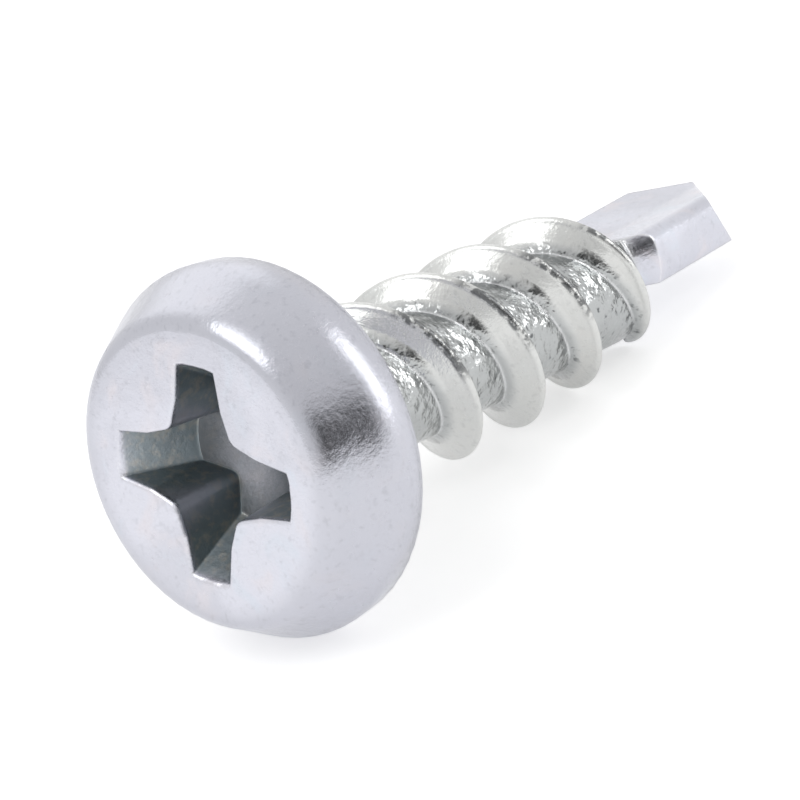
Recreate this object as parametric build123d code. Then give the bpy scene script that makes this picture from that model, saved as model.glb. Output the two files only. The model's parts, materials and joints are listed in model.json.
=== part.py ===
from build123d import *
from math import asin, atan2, ceil, cos, degrees, hypot, radians, sin, tan
import os

# Self drilling screw: flat-topped pan head, cross recess, two-start thread, two-flute drill point.
# It is cold-formed from one wire, so it is one solid. Sizes are in millimetres, angles in degrees.
#
# The screw is made upright in its own frame: Z runs from the centre of the head's flat face, at
# Z = 0, to the drill's tip, and angles about Z are counted from X.
# At the end it is laid down as it rests: on the rim of its head and a crest of its thread, with
# the tip towards +X, and with the origin under the middle of what it covers.

# Head
face_diameter = 6.5           # where the face's plane meets the line of the flank
face_edge_radius = 0.38
head_diameter = 8.0
flank_height = 1.42           # from the face to the widest point of the rim
rim_back_diameter = 7.85
rim_corner_radius = 0.5
rim_back_radius = 0.3
head_height = 2.3

# Cross recess for driver size 2: four wings, shaped by a punch turned to a point
recess_span = 4.66            # across two opposite wings, at the face
recess_depth = 2.3
wing_slope = 26.5             # between a wing's outer end and the screw's axis
floor_slope = 28.0            # between the floor's cone and the face
nose_diameter = 0.4           # of the flat at the bottom of the floor's cone
wing_end_width = 0.98
wing_root_width = 1.22
wing_root_radius = 1.45       # where a wing begins to widen into the corners
corner_span = 2.32            # across two opposite inner corners
side_draft = 4.0              # by which the wings narrow with depth
corner_radius = 0.3
recess_angle = 29.7           # of the first wing
mouth_radius = 0.06           # rolled edge round the recess

# Shank
root_diameter = 2.72
neck_diameter = 4.5           # of the fillet under the head, where it meets the bearing face
neck_length = 1.05
shank_end = 13.5              # from the face
shank_end_taper = 0.45        # length over which the shank narrows at its end
shank_end_diameter = 2.2

# Thread, right-handed
thread_starts = 2
thread_diameter = 4.16
thread_end_diameter = 3.86    # at the end of the taper, where the thread begins to run out
thread_lead = 4.36
thread_phase = 143.0          # angle of the first crest if it is carried back to the face
thread_base_width = 1.04      # along the screw, at the root
crest_radius = 0.11
thread_begin = 2.5            # these are distances from the face
thread_full = 4.4
thread_taper = 9.6
thread_fade = 12.4
thread_ends = (15.4, 12.95)   # where each start's ridge would vanish, if the shank went on
thread_drift = 0.22           # by which the last turns are rolled off centre, towards X
thread_seat = 0.45            # depth by which the ridge is set into the root
run_in = 0.25                 # depth under the root at which a ridge that vanishes is ended
ridge_cut = 0.1               # by which the core's end stands out of the cut end of a ridge
ridge_cut_slope = 0.25        # rise of that cut towards the tip, for each millimetre outwards
sections_per_turn = 12

# Drill point. On this screw it stands beside the thread's axis and leans away from it.
point_diameter = 2.96
point_offset = 0.44           # at the end of the shank, along X
point_lean = 3.0
point_length = 4.6            # from the end of the shank to the tip
point_seat = 0.1              # depth by which the point is set into the shank
shoulder_length = 0.5         # over which the point widens from the end of the shank
tip_angle = 106.0
lip_angle = 134.0             # direction from the point's axis to the first lip's outer corner
land_angle = 50.0             # angle that a land spans behind its lip
lip_relief = 42.0             # by which the end falls away behind a lip
heel_radius = 0.3             # of the edge along the back of a land
web_thickness = 0.95
flute_radius = 0.8            # of the flute's bottom
flute_run_out = 0.8           # length over which a flute sinks to its full depth

# Rest
rest_roll = 22.0              # angle about the screw's axis that faces up


def polar(radius, angle, height=0.0):
    """A point at a radius and an angle about Z."""
    return Vector(radius * cos(radians(angle)), radius * sin(radians(angle)), height)


def round_corner(outline, corner, radius):
    """Rounds the corner of a flat outline that lies nearest to a point."""
    return fillet(outline.vertices().sort_by_distance(corner)[0], radius)


def head():
    """Flat face, sloping flank, nearly cylindrical rim, flat bearing face."""
    face_corner = (face_diameter / 2, 0, 0)
    rim_corner = (head_diameter / 2, 0, flank_height)
    back_corner = (rim_back_diameter / 2, 0, head_height)
    corners = [(0, 0, 0), face_corner, rim_corner, back_corner, (0, 0, head_height)]
    outline = make_face(Polyline(*corners, close=True))
    outline = round_corner(outline, face_corner, face_edge_radius)
    outline = round_corner(outline, rim_corner, rim_corner_radius)
    outline = round_corner(outline, back_corner, rim_back_radius)
    return revolve(outline, Axis.Z)


def cross_outline(depth):
    """The cross at a depth: wings that narrow outwards, with bevelled corners between them."""
    inset = depth * tan(radians(side_draft))
    reach = recess_span / 2
    half_root = wing_root_width / 2 - inset
    half_end = wing_end_width / 2 - inset
    beyond = reach + (reach - wing_root_radius)
    half_beyond = half_end - (half_root - half_end)
    inner = polar(corner_span / 2 - inset, 45)
    wing = [
        (beyond, -half_beyond),
        (beyond, half_beyond),
        (wing_root_radius, half_root),
        (inner.X, inner.Y),
        (half_root, wing_root_radius),
    ]
    corners = [Vector(*corner).rotate(Axis.Z, 90 * quarter) for quarter in range(4) for corner in wing]
    cross = make_face(Polyline(*corners, close=True))
    rounded = [corner for corner in cross.vertices() if Vector(corner.X, corner.Y).length < reach]
    return Pos(0, 0, depth) * fillet(rounded, corner_radius)


def recess():
    """The punch that presses the cross recess: a turned point with four grooves between its wings."""
    reach = recess_span / 2
    slope = tan(radians(wing_slope))
    floor = tan(radians(floor_slope))
    nose = nose_diameter / 2
    foot_radius = (reach - (recess_depth + nose * floor) * slope) / (1 - floor * slope)
    foot_depth = recess_depth - (foot_radius - nose) * floor
    outline = Polyline(
        (0, 0, -mouth_radius),
        (reach + mouth_radius * slope, 0, -mouth_radius),
        (foot_radius, 0, foot_depth),
        (nose, 0, recess_depth),
        (0, 0, recess_depth),
        close=True,
    )
    turned_point = revolve(make_face(outline), Axis.Z)
    cross = loft([cross_outline(-mouth_radius), cross_outline(recess_depth + mouth_radius)], ruled=True)
    return Rot(0, 0, recess_angle) * (turned_point & cross)


def round_mouth(pressed_head):
    """Rolls the edge between the head's face and the recess."""
    on_face = pressed_head.edges().filter_by_position(Axis.Z, -mouth_radius / 2, mouth_radius / 2)
    face_size = face_diameter - 2 * face_edge_radius
    mouth = [edge for edge in on_face if edge.bounding_box().diagonal < face_size / 2]
    return fillet(mouth, mouth_radius)


def shank():
    """Round core with a fillet under the head, narrowed at its end."""
    root = root_diameter / 2
    neck = neck_diameter / 2
    neck_end = head_height + neck_length
    inside_head = head_height - rim_back_radius
    under_head = TangentArc((root, 0, neck_end), (neck, 0, head_height), tangent=(0, 0, -1))
    outline = Polyline(
        (neck, 0, head_height),
        (neck, 0, inside_head),
        (0, 0, inside_head),
        (0, 0, shank_end),
        (shank_end_diameter / 2, 0, shank_end),
        (root, 0, shank_end - shank_end_taper),
        (root, 0, neck_end),
    )
    return revolve(make_face(under_head + outline), Axis.Z)


def crest_height(start, z):
    """Height of a start's crest over the root, at a distance from the face."""
    full = (thread_diameter - root_diameter) / 2
    tapered = (thread_end_diameter - root_diameter) / 2
    if z < thread_full:
        return full * (z - thread_begin) / (thread_full - thread_begin)
    if z < thread_taper:
        return full
    if z < thread_fade:
        return full + (tapered - full) * (z - thread_taper) / (thread_fade - thread_taper)
    return tapered * (thread_ends[start] - z) / (thread_ends[start] - thread_fade)


def drift(z):
    """How far the thread is off centre, at a distance from the face."""
    return thread_drift * max(z - thread_taper, 0) / (shank_end - thread_taper)


def ridge_section(start, z):
    """A ridge's section, in a plane through the axis: sloping flanks and a round crest."""
    # the flanks keep their slope, so a lower ridge is narrower too
    slope = (thread_base_width / 2 - crest_radius) / ((thread_diameter - root_diameter) / 2)
    height = crest_height(start, z) + thread_seat
    half_base = crest_radius + slope * height
    bottom = root_diameter / 2 - thread_seat
    top = bottom + height
    shoulder = top - crest_radius
    flank = Line((bottom, 0, -half_base), (shoulder, 0, -crest_radius))
    crest = ThreePointArc(flank @ 1, (top, 0, 0), (shoulder, 0, crest_radius))
    back = Polyline(crest @ 1, (bottom, 0, half_base), flank @ 0)
    return Pos(drift(z), 0, z) * Rot(0, 0, crest_angle(start, z)) * make_face(flank + crest + back)


def crest_angle(start, z):
    """Direction of a start's crest, at a distance from the face."""
    return thread_phase + 360 * start / thread_starts + 360 * z / thread_lead


def ridge_end(start):
    """Where a ridge is ended: past the shank, or where it has sunk under the root."""
    sunk = thread_ends[start] + run_in * (thread_ends[start] - thread_fade) / crest_height(start, thread_fade)
    return min(shank_end + thread_base_width, sunk)


def ridge_limit():
    """The space that the ridges may fill: it ends in a shallow dish round the end of the core."""
    core = shank_end_diameter / 2 - ridge_cut
    core_height = shank_end - ridge_cut
    outer_height = core_height + (thread_diameter - core) * ridge_cut_slope
    outline = Polyline(
        (0, 0, 0),
        (thread_diameter, 0, 0),
        (thread_diameter, 0, outer_height),
        (core, 0, core_height),
        (0, 0, core_height),
        close=True,
    )
    return revolve(make_face(outline), Axis.Z)


def thread(start):
    """One start of the thread: a ridge lofted along its helix, and cut off where the shank ends."""
    length = ridge_end(start) - thread_begin
    count = ceil(length / thread_lead * sections_per_turn)
    ridge = loft([ridge_section(start, thread_begin + length * step / count) for step in range(count + 1)])
    return ridge & ridge_limit()


def fluted_section():
    """The point's section: two lands with rounded heels, and a shallow valley between them."""
    radius = point_diameter / 2
    outline = []
    heels = []
    valleys = []
    for half_turn in (0, 180):
        lip = polar(radius, lip_angle + half_turn)
        middle = polar(radius, lip_angle - land_angle / 2 + half_turn)
        heel = polar(radius, lip_angle - land_angle + half_turn)
        valley = polar(web_thickness / 2, lip_angle - land_angle / 2 + 90 + half_turn)
        next_heel = polar(radius, lip_angle - land_angle + 180 + half_turn)
        outline += [ThreePointArc(heel, middle, lip), Line(lip, valley), Line(valley, next_heel)]
        heels.append(heel)
        valleys.append(valley)
    section = make_face(outline)
    for heel in heels:
        section = round_corner(section, heel, heel_radius)
    for valley in valleys:
        section = round_corner(section, valley, flute_radius)
    return section


def relief(half_turn):
    """The plane by which the end falls away behind one lip."""
    outward = 1 / tan(radians(tip_angle / 2))
    behind = tan(radians(lip_relief))
    normal = polar(outward, lip_angle + half_turn, 1) + polar(behind, lip_angle - 90 + half_turn)
    return Plane(origin=(0, 0, point_length), z_dir=normal)


def point_seat_place():
    """Where the point's own axis starts, and how it leans."""
    return Pos(point_offset, 0, shank_end) * Rot(0, point_lean, 0)


def lip_height():
    """Distance of the lips' outer corners from the start of the point."""
    return point_length - point_diameter / 2 / tan(radians(tip_angle / 2))


def drill_point():
    """The pinched point: a fluted bar with a conical, relieved end, on a neck at the shank's end."""
    radius = point_diameter / 2
    neck = shank_end_diameter / 2
    outline = Polyline(
        (0, 0, -point_seat),
        (neck, 0, -point_seat),
        (neck, 0, 0),
        (radius, 0, shoulder_length),
        (radius, 0, point_length),
        (0, 0, point_length),
        close=True,
    )
    bar = Pos(0, 0, -point_seat) * extrude(fluted_section(), point_length + point_seat)
    point = revolve(make_face(outline), Axis.Z) & bar
    for half_turn in (0, 180):
        point = split(point, bisect_by=relief(half_turn), keep=Keep.BOTTOM)
    # the flutes run out on a slope from the end of the shank down to the web
    slope_length = flute_run_out + point_seat
    slope = Cone(neck, web_thickness / 2, slope_length, align=(Align.CENTER, Align.CENTER, Align.MIN))
    return point_seat_place() * point + Pos(0, 0, shank_end - point_seat) * slope


def rest_tilt():
    """Angle by which the tip points down when the rim and the thread, or a lip, touch the floor."""
    down = polar(1, rest_roll + 180)
    steps = ceil((shank_end - head_height) / crest_radius)
    stations = [head_height + (shank_end - head_height) * step / steps for step in range(1, steps + 1)]
    supports = []
    for start in range(thread_starts):
        for z in stations:
            crest = polar(root_diameter / 2 + crest_height(start, z), crest_angle(start, z), z)
            supports.append(crest + Vector(drift(z), 0, 0))
    for half_turn in (0, 180):
        lip = polar(point_diameter / 2, lip_angle + half_turn, lip_height())
        supports.append((point_seat_place() * Pos(lip)).position)
    # the head touches with the rounded back edge of its rim
    edge = rim_back_diameter / 2 - rim_back_radius
    tilts = []
    for support in supports:
        rise = edge - support.dot(down)
        run = support.Z - (head_height - rim_back_radius)
        tilts.append(degrees(atan2(rise, run) + asin(rim_back_radius / hypot(rise, run))))
    return min(tilts)


def laid_down(screw):
    """Lays the screw on its rim and thread, tip towards +X, and puts the origin under its middle."""
    resting = Rot(0, 90 + rest_tilt(), 0) * Rot(0, 0, 180 - rest_roll) * screw
    box = resting.bounding_box()
    return Pos(-box.center().X, -box.center().Y, -box.min.Z) * resting


def build():
    """The whole screw, upright in its own frame."""
    screw = round_mouth(head() + shank() - recess())
    screw += drill_point()
    for start in range(thread_starts):
        screw += thread(start)
    return screw


os.makedirs("parts", exist_ok=True)
export_step(laid_down(build()), "parts/self_drilling_screw.step")
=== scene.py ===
import json
import math
from types import SimpleNamespace

import bpy
from mathutils import Matrix, Vector

# A zinc-plated self drilling screw that lies on a white studio floor.
# Lengths are in metres and angles in degrees, unless a name ends in _mm.

# Camera: where it aims, and how it stands round that point
aim = Vector((-0.00239, 0.00033, 0.00240))
camera_distance = 0.0746
camera_azimuth = -134.5
camera_elevation = 24.3
camera_lean = 18.6            # by which its top leans to the right
lens_mm = 157.5
sensor_mm = 36.0
clip_start = 0.001

# Studio
floor_size = 2.0
floor_shade = 0.80
floor_glow = 0.52             # what it adds for the eye and in gloss, so that it reads as white
light_sky = 0.60              # strength of the light that the sky casts
unlit_azimuth = -111.0        # the unlit side of the studio, where the photographer stands
unlit_elevation = 11.0
unlit_half_width = 34.0
unlit_half_height = 27.0
unlit_loss = 0.80             # how much darker it is in the middle
dim_spread = (90.0, 25.0)     # the dim part round it: the angles at which it begins and is full
dim_loss = 0.16
lamp_distance = 0.30

# Colours of the plating, and of the painted shade and painted highlight laid over it
plain_zinc = (0.65, 0.655, 0.72, 1)
dull_zinc = (0.59, 0.595, 0.655, 1)
# painted shade: the flank of the head is darker
flank_shade_zinc = (0.50, 0.505, 0.555, 1)
pink_zinc = (0.69, 0.65, 0.68, 1)
blue_zinc = (0.61, 0.65, 0.72, 1)
green_zinc = (0.635, 0.64, 0.61, 1)
# painted shade: the root of the thread is darker
root_shade_zinc = (0.40, 0.415, 0.42, 1)
# worn edges, which also serve as a painted highlight
worn_and_highlight_zinc = (0.90, 0.90, 0.92, 1)
ochre_zinc = (0.58, 0.56, 0.50, 1)
slate_zinc = (0.35, 0.405, 0.425, 1)
# dark pits and dimples, and also painted shade and a painted dark reflection
dark_pits_and_shade = (0.05, 0.055, 0.06, 1)

# Roughness of the plating, and what its grains and some places add to it
plain_rough = 0.15
grain_rough = 0.18
recess_rough = 0.15
root_rough = -0.03
face_edge_rough = -0.10

# Heights of its bumps, and by how much the dimples are flatter round the face
grain_height = 0.004e-3
dimple_height = 0.007e-3
lump_height = 0.008e-3
root_lump_height = 0.12e-3
face_edge_flattened = 0.6

# How dark its pits are: on the whole screw, and how much darker on the root
plain_pits = 0.05
root_pits = 0.70

# Its edges: how far their shading is rounded, and how near a wall makes a hollow
edge_radius = 0.10e-3
rim_edge_radius = 0.60e-3
edge_samples = 6
hollow_reach = 1.4e-3
hollow_samples = 8

# Places on the screw, each as two distances: where it begins, and where it is in full.
# From the face of the head, along the axis
on_head = (2.4e-3, 2.2e-3)
past_head = (2.2e-3, 2.4e-3)
on_point = (13.3e-3, 13.7e-3)
below_face = (0.05e-3, 0.20e-3)
# From the axis
on_root = (1.66e-3, 1.41e-3)
on_crest = (1.93e-3, 1.99e-3)
within_thread = (2.28e-3, 2.18e-3)
within_recess = (2.53e-3, 2.33e-3)
on_side = (2.65e-3, 3.20e-3)
past_face = (2.80e-3, 3.00e-3)
short_of_rim = (3.45e-3, 3.25e-3)
on_rim = (3.0e-3, 3.4e-3)

dark_reflection_side = Vector((0.12, -0.82, 0.56))   # the side on which the crests carry a painted dark reflection


class Tree:
    """Adds and links the shader nodes of one material or world."""

    def __init__(self, owner):
        owner.use_nodes = True
        self.tree = owner.node_tree
        self.tree.nodes.clear()

    def node(self, kind, values=None, **settings):
        """A node of a kind, with its settings, and its inputs set or linked by name or number."""
        node = self.tree.nodes.new("ShaderNode" + kind)
        for name, setting in settings.items():
            setattr(node, name, setting)
        for name, value in (values or {}).items():
            self.fill(node.inputs[name], value)
        return node

    def fill(self, socket, value):
        if isinstance(value, bpy.types.NodeSocket):
            self.tree.links.new(value, socket)
        else:
            socket.default_value = value

    def math(self, operation, a, b=0.0):
        return self.node("Math", {0: a, 1: b}, operation=operation).outputs[0]

    def total(self, *terms):
        result = terms[0]
        for term in terms[1:]:
            result = self.math("ADD", result, term)
        return result

    def product(self, *factors):
        result = factors[0]
        for factor in factors[1:]:
            result = self.math("MULTIPLY", result, factor)
        return result

    def rest(self, share):
        """What a share leaves of 1."""
        return self.math("SUBTRACT", 1.0, share)

    def vector(self, operation, a, b=(0, 0, 0)):
        return self.node("VectorMath", {0: a, 1: b}, operation=operation).outputs["Vector"]

    def scaled(self, vector, factor):
        values = {0: vector, "Scale": factor}
        return self.node("VectorMath", values, operation="SCALE").outputs["Vector"]

    def dot(self, a, b):
        return self.node("VectorMath", {0: a, 1: b}, operation="DOT_PRODUCT").outputs["Value"]

    def length(self, vector):
        return self.node("VectorMath", {0: vector}, operation="LENGTH").outputs["Value"]

    def ramp(self, value, begin, full):
        """0 at begin, 1 at full, and smooth between them. It falls where full is the smaller."""
        values = {"Value": value, "From Min": begin, "From Max": full}
        return self.node("MapRange", values, interpolation_type="SMOOTHSTEP").outputs[0]

    def noise(self, coordinates, size, detail=3.0, roughness=0.6, distortion=0.0):
        """Noise between 0 and 1, whose lumps are about a size across."""
        values = {
            "Vector": coordinates,
            "Scale": 1 / size,
            "Detail": detail,
            "Roughness": roughness,
            "Distortion": distortion,
        }
        return self.node("TexNoise", values).outputs["Fac"]

    def over(self, base, colour, *masks, share=1.0):
        """A base with a colour over it, as much as the masks let through, and at most a share."""
        node = self.node("Mix", data_type="RGBA")
        self.fill(node.inputs[0], self.product(*masks, share))
        self.fill(node.inputs[6], base)
        self.fill(node.inputs[7], colour)
        return node.outputs[2]


def zinc(face_centre, face_normal):
    """Zinc plating: satin with faint tints on the head and the point, greenish on the thread,
    with painted shade, a painted dark reflection and a painted highlight in its colour.
    """
    material = bpy.data.materials.new("zinc_plating")
    tree = Tree(material)
    place = tree.node("TexCoord").outputs["Object"]
    from_face = tree.vector("SUBTRACT", place, face_centre)
    tipward = [-part for part in face_normal]
    along = tree.dot(from_face, tipward)
    from_axis = tree.vector("SUBTRACT", from_face, tree.scaled(tipward, along))
    normal = tree.node("NewGeometry").outputs["Normal"]
    soft_edges = tree.node("Bevel", {"Radius": edge_radius}, samples=edge_samples).outputs[0]
    openness = tree.node("AmbientOcclusion", {"Distance": hollow_reach}, samples=hollow_samples)

    on = places(tree, along, tree.length(from_axis))
    grain = noises(tree, place)
    shape = SimpleNamespace(
        openness=openness.outputs["AO"],
        flatness=tree.dot(soft_edges, normal),
        facing_out=tree.dot(normal, face_normal),
        facing_dark_reflection=tree.dot(tree.vector("NORMALIZE", from_axis), dark_reflection_side),
    )
    values = {
        "Strength": 1.0,
        "Distance": 1.0,
        "Height": plating_height(tree, on, grain),
        "Normal": rounded_normal(tree, on, soft_edges),
    }
    bump = tree.node("Bump", values).outputs[0]
    values = {
        "Base Color": plating_colour(tree, on, grain, shape),
        "Metallic": 1.0,
        "Roughness": plating_roughness(tree, on, grain),
        "Normal": bump,
    }
    surface = tree.node("BsdfPrincipled", values).outputs[0]
    tree.node("OutputMaterial", {"Surface": surface})
    return material


def places(tree, along, radius):
    """1 on each part of the screw and 0 off it, by the distances along its axis and from it."""
    head = tree.ramp(along, *on_head)
    point = tree.ramp(along, *on_point)
    threaded = tree.product(
        tree.ramp(along, *past_head),
        tree.ramp(radius, *within_thread),
        tree.rest(point),
    )
    inside = tree.product(tree.ramp(along, *below_face), tree.ramp(radius, *within_recess))
    face_edge = tree.product(tree.ramp(radius, *past_face), tree.ramp(radius, *short_of_rim))
    return SimpleNamespace(
        threaded=threaded,
        root=tree.product(threaded, tree.ramp(radius, *on_root)),
        crest=tree.product(threaded, tree.ramp(radius, *on_crest)),
        recess=tree.product(head, inside),
        face_edge=tree.product(head, face_edge),
        side=tree.product(head, tree.ramp(radius, *on_side)),
        rim=tree.product(head, tree.ramp(radius, *on_rim)),
    )


def noises(tree, place):
    """The noises of the plating, from its largest patches to its finest grains."""
    return SimpleNamespace(
        patches=tree.noise(place, size=2.4e-3, roughness=0.5, distortion=0.4),
        tints=tree.noise(place, size=1.1e-3, roughness=0.5, distortion=0.6),
        lumps=tree.noise(place, size=0.50e-3, roughness=0.5),
        specks=tree.noise(place, size=0.22e-3),
        dimples=tree.noise(place, size=0.17e-3),
        grains=tree.noise(place, size=0.07e-3, detail=2.0),
    )


def rounded_normal(tree, on, soft_edges):
    """Normals that round the edges, the rim's more than the rest."""
    rim_edges = tree.node("Bevel", {"Radius": rim_edge_radius}, samples=edge_samples).outputs[0]
    difference = tree.vector("SUBTRACT", rim_edges, soft_edges)
    blended = tree.vector("ADD", soft_edges, tree.scaled(difference, on.rim))
    return tree.vector("NORMALIZE", blended)


def plating_colour(tree, on, grain, shape):
    """Tints and dirt, one over the other, with painted shade on the flank of the head and on the
    root, and a painted dark reflection on the crests; then the worn edges, lightened also as a
    painted highlight, and painted shade in the recess and in the thread's gaps.
    """
    dull = tree.ramp(grain.patches, begin=0.42, full=0.62)
    pink = tree.ramp(grain.tints, begin=0.52, full=0.72)
    blue = tree.ramp(grain.tints, begin=0.46, full=0.28)
    dimpled = tree.ramp(grain.dimples, begin=0.54, full=0.72)
    colour = tree.over(plain_zinc, dull_zinc, dull)
    colour = tree.over(colour, pink_zinc, pink, share=0.6)
    colour = tree.over(colour, blue_zinc, blue, share=0.6)
    # painted shade that darkens the flank of the head
    colour = tree.over(colour, flank_shade_zinc, on.side, share=0.75)
    colour = tree.over(colour, green_zinc, on.threaded, share=0.80)
    # painted shade that darkens the root of the thread
    colour = tree.over(colour, root_shade_zinc, on.root, share=0.80)
    colour = tree.over(colour, dark_pits_and_shade, dimpled, share=0.10)

    # faint pits on the whole screw, and dark ones on the root
    pitted = tree.ramp(grain.specks, begin=0.59, full=0.72)
    pits = tree.total(tree.product(on.root, root_pits), plain_pits)
    colour = tree.over(colour, dark_pits_and_shade, pitted, pits)

    # a painted dark reflection: broken dark streaks along the crests on one side
    reflecting_dark = tree.ramp(shape.facing_dark_reflection, begin=0.84, full=0.94)
    broken = tree.ramp(grain.dimples, begin=0.38, full=0.54)
    colour = tree.over(colour, dark_pits_and_shade, on.crest, reflecting_dark, broken, share=0.80)

    # bright worn edges, where they don't lie in a hollow, which also serve as a painted highlight
    sharp = tree.ramp(shape.flatness, begin=0.985, full=0.90)
    open_air = tree.ramp(shape.openness, begin=0.45, full=0.75)
    colour = tree.over(colour, worn_and_highlight_zinc, sharp, open_air, share=0.8)

    # the recess: slate with ochre stains, partly stain and partly painted shade where walls close
    # it in, and painted shade, nearly black, on the surfaces that face out
    stained = tree.ramp(grain.specks, begin=0.44, full=0.68)
    outermost = tree.ramp(shape.facing_out, begin=0.60, full=0.88)
    walled_in = tree.ramp(shape.openness, begin=0.98, full=0.75)
    recess_stain_and_shade = tree.over(slate_zinc, ochre_zinc, stained, share=0.8)
    recess_stain_and_shade = tree.over(recess_stain_and_shade, dark_pits_and_shade, outermost, share=0.88)
    colour = tree.over(colour, recess_stain_and_shade, on.recess, walled_in, share=0.92)

    # painted shade in the gaps of the thread, where walls close them in
    closed_in = tree.ramp(shape.openness, begin=0.85, full=0.30)
    return tree.over(colour, dark_pits_and_shade, closed_in, on.threaded, share=0.12)


def plating_roughness(tree, on, grain):
    """Rougher by its grains and in the recess, and smoother on the root and round the face."""
    return tree.total(
        plain_rough,
        tree.product(grain.grains, grain_rough),
        tree.product(on.root, root_rough),
        tree.product(on.recess, recess_rough),
        tree.product(on.face_edge, face_edge_rough),
    )


def plating_height(tree, on, grain):
    """Grains, dimples and lumps all over. The dimples are low round the face, the lumps high on
    the root."""
    dimpled = tree.rest(tree.product(on.face_edge, face_edge_flattened))
    lumpy = tree.total(tree.product(on.root, root_lump_height), lump_height)
    return tree.total(
        tree.product(grain.grains, grain_height),
        tree.product(grain.dimples, dimpled, dimple_height),
        tree.product(grain.lumps, lumpy),
    )


def seen(tree):
    """1 for what is seen directly, in gloss or through glass, and 0 for the light things get."""
    rays = tree.node("LightPath").outputs
    eye_or_gloss = tree.math("MAXIMUM", rays["Is Camera Ray"], rays["Is Glossy Ray"])
    return tree.math("MAXIMUM", eye_or_gloss, rays["Is Transmission Ray"])


def floor():
    """A pale floor that reads as white and keeps the shadow."""
    half = floor_size / 2
    corners = [(-half, -half, 0), (half, -half, 0), (half, half, 0), (-half, half, 0)]
    mesh = bpy.data.meshes.new("floor")
    mesh.from_pydata(corners, [], [(0, 1, 2, 3)])
    piece = bpy.data.objects.new("floor", mesh)
    bpy.context.scene.collection.objects.link(piece)
    material = bpy.data.materials.new("pale_floor")
    tree = Tree(material)
    shade = (floor_shade, floor_shade, floor_shade, 1)
    pale = tree.node("BsdfDiffuse", {"Color": shade}).outputs[0]
    glow = tree.product(seen(tree), floor_glow)
    white = tree.node("Emission", {"Color": (1, 1, 1, 1), "Strength": glow}).outputs[0]
    surface = tree.node("AddShader", {0: pale, 1: white}).outputs[0]
    tree.node("OutputMaterial", {"Surface": surface})
    mesh.materials.append(material)


def sky():
    """A white background with soft light. Its unlit side shows in gloss, but not to the eye."""
    world = bpy.data.worlds.new("studio")
    bpy.context.scene.world = world
    tree = Tree(world)
    direction = tree.node("TexCoord").outputs["Generated"]
    middle = around(unlit_azimuth, unlit_elevation)
    level = around(unlit_azimuth + 90, 0)
    nearness = tree.dot(direction, middle)
    sideways = tree.dot(direction, level / sine(unlit_half_width))
    upward = tree.dot(direction, middle.cross(level) / sine(unlit_half_height))

    # the unlit side is an ellipse, and the second ramp keeps it off the opposite side
    squares = tree.total(tree.product(sideways, sideways), tree.product(upward, upward))
    ellipse = tree.ramp(tree.math("SQRT", squares), begin=1.0, full=0.4)
    unlit = tree.product(ellipse, tree.ramp(nearness, begin=0.0, full=0.2), unlit_loss)
    dim = tree.product(tree.ramp(nearness, *map(cosine, dim_spread)), dim_loss)
    not_eye = tree.rest(tree.node("LightPath").outputs["Is Camera Ray"])
    loss = tree.product(tree.total(unlit, dim), not_eye)
    plain = tree.total(light_sky, tree.product(seen(tree), 1 - light_sky))
    strength = tree.product(plain, tree.rest(loss))
    surface = tree.node("Background", {"Color": (1, 1, 1, 1), "Strength": strength}).outputs[0]
    tree.node("OutputWorld", {"Surface": surface})


def softbox(name, azimuth, elevation, width, height, strength):
    """A lamp that faces the screw. A strength of 1 is as bright as the white sky."""
    lamp = bpy.data.lights.new(name, "AREA")
    lamp.shape = "RECTANGLE"
    lamp.size = width
    lamp.size_y = height
    lamp.energy = strength * math.pi * width * height
    piece = bpy.data.objects.new(name, lamp)
    direction = around(azimuth, elevation)
    piece.location = aim + direction * lamp_distance
    piece.rotation_euler = direction.to_track_quat("Z", "Y").to_euler()
    bpy.context.scene.collection.objects.link(piece)


def sine(angle):
    return math.sin(math.radians(angle))


def cosine(angle):
    return math.cos(math.radians(angle))


def around(azimuth, elevation):
    """The direction from the screw to something that stands round it."""
    flat = cosine(elevation)
    return Vector((flat * cosine(azimuth), flat * sine(azimuth), sine(elevation)))


def camera():
    lens = bpy.data.cameras.new("camera")
    lens.lens = lens_mm
    lens.sensor_width = sensor_mm
    lens.clip_start = clip_start
    piece = bpy.data.objects.new("camera", lens)
    direction = around(camera_azimuth, camera_elevation)
    level = direction.to_track_quat("Z", "Y").to_matrix().to_4x4()
    lean = Matrix.Rotation(math.radians(-camera_lean), 4, "Z")
    piece.matrix_world = Matrix.Translation(aim + direction * camera_distance) @ level @ lean
    bpy.context.scene.collection.objects.link(piece)
    bpy.context.scene.camera = piece


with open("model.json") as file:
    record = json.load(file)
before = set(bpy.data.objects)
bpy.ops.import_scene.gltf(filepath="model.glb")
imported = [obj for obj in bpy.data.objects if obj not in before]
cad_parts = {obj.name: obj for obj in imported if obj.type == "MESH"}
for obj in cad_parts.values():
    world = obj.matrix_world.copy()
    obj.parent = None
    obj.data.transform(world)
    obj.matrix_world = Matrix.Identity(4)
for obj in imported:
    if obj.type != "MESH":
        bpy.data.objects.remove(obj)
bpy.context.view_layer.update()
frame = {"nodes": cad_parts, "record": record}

mounts = {mount["name"]: mount for mount in frame["record"]["mounts"]}
recess_mouth = mounts["driver_recess"]
screw = frame["nodes"]["self_drilling_screw"]
screw.data.materials.clear()
screw.data.materials.append(zinc(recess_mouth["pos_m"], recess_mouth["axis"]))

floor()
sky()
softbox("back", azimuth=55, elevation=40, width=0.25, height=0.25, strength=0.4)
softbox("top", azimuth=168, elevation=60, width=0.16, height=0.16, strength=2.4)
softbox("side", azimuth=-52, elevation=24, width=0.06, height=0.26, strength=4.5)
camera()
bpy.context.scene.view_settings.view_transform = "Standard"
